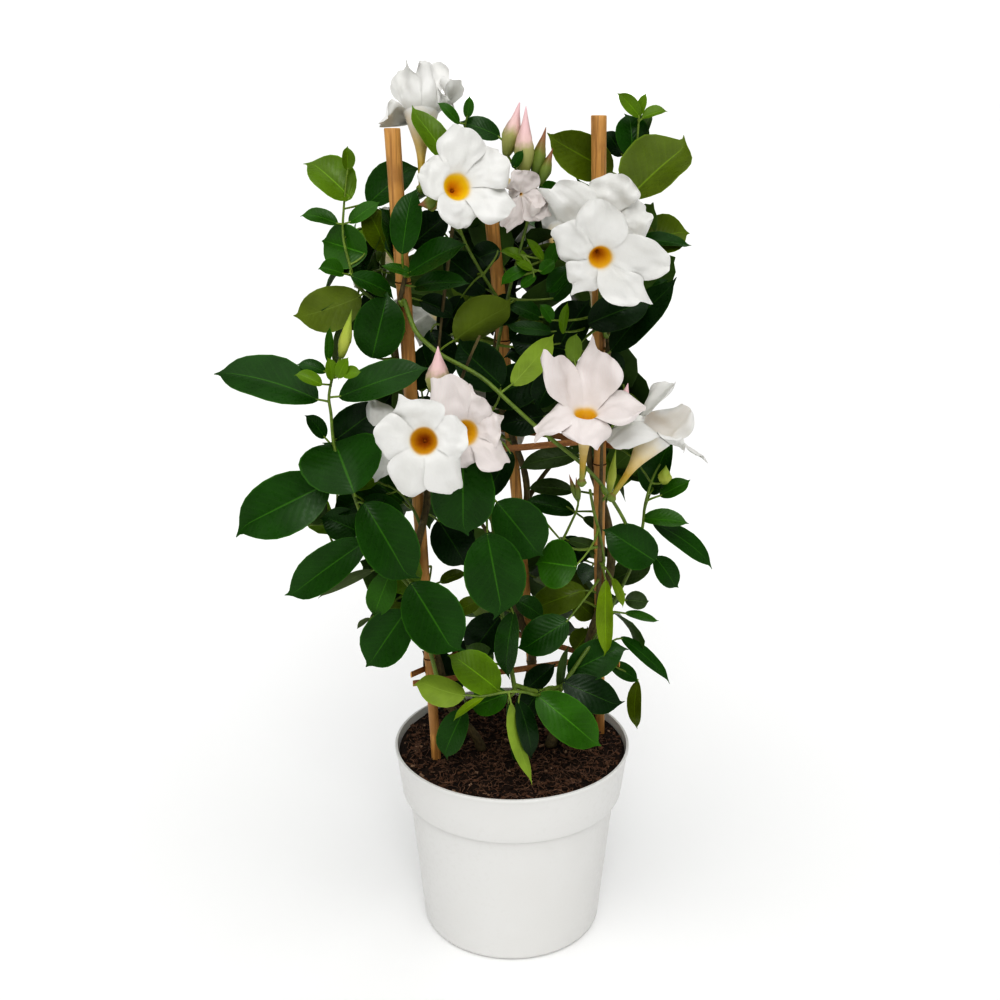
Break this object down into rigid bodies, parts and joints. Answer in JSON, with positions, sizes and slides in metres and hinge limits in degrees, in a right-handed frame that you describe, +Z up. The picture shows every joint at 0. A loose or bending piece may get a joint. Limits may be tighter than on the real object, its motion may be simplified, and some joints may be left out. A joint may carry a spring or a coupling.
{
  "type": "potted mandevilla",
  "caption": "Twining patio shrub with masses of glossy leaves on a frame of bamboo canes and split rungs, growing in a round tapered planter with a deep rim band.",
  "frame": {"origin": "centre of the pot's flat underside", "axes": "+Z up along the pot's axis, +X to the right seen from the front, -Y the plant's front"},
  "size_m": [0.4443, 0.3593, 0.8264],
  "materials": {
    "planter_plastic": "satin",
    "potting_soil": "matte",
    "bamboo": "satin",
    "stem_bark": "matte",
    "foliage": "satin",
    "blossom": "matte"
  },
  "bodies": {
    "root": {"pot": "planter_plastic", "root_ball": "potting_soil", "frame_cane_left": "bamboo", "frame_cane_right": "bamboo", "frame_cane_back": "bamboo", "frame_rung_low_front": "bamboo", "frame_rung_low_left": "bamboo", "frame_rung_low_right": "bamboo", "frame_rung_middle_front": "bamboo", "frame_rung_middle_left": "bamboo", "frame_rung_middle_right": "bamboo", "stem_left": "stem_bark", "stem_right": "stem_bark", "stem_back": "stem_bark", "bough_low_front": "stem_bark", "bough_far_left": "stem_bark", "bough_front_left": "stem_bark", "bough_front_right": "stem_bark", "bough_back_left": "stem_bark", "bough_back_right": "stem_bark", "bough_upper_front": "stem_bark", "bough_top_left": "stem_bark", "bough_top_right": "stem_bark", "leaves_low_front": "foliage", "leaves_low_left": "foliage", "leaves_low_right": "foliage", "leaves_low_back": "foliage", "leaves_far_left": "foliage", "leaves_front_left": "foliage", "leaves_front_right": "foliage", "leaves_right_side": "foliage", "leaves_back_left": "foliage", "leaves_back_right": "foliage", "leaves_upper_left": "foliage", "leaves_upper_front": "foliage", "leaves_upper_right": "foliage", "leaves_upper_back": "foliage", "leaves_top_left": "foliage", "leaves_top_right": "foliage"}
  },
  "joints": []
}
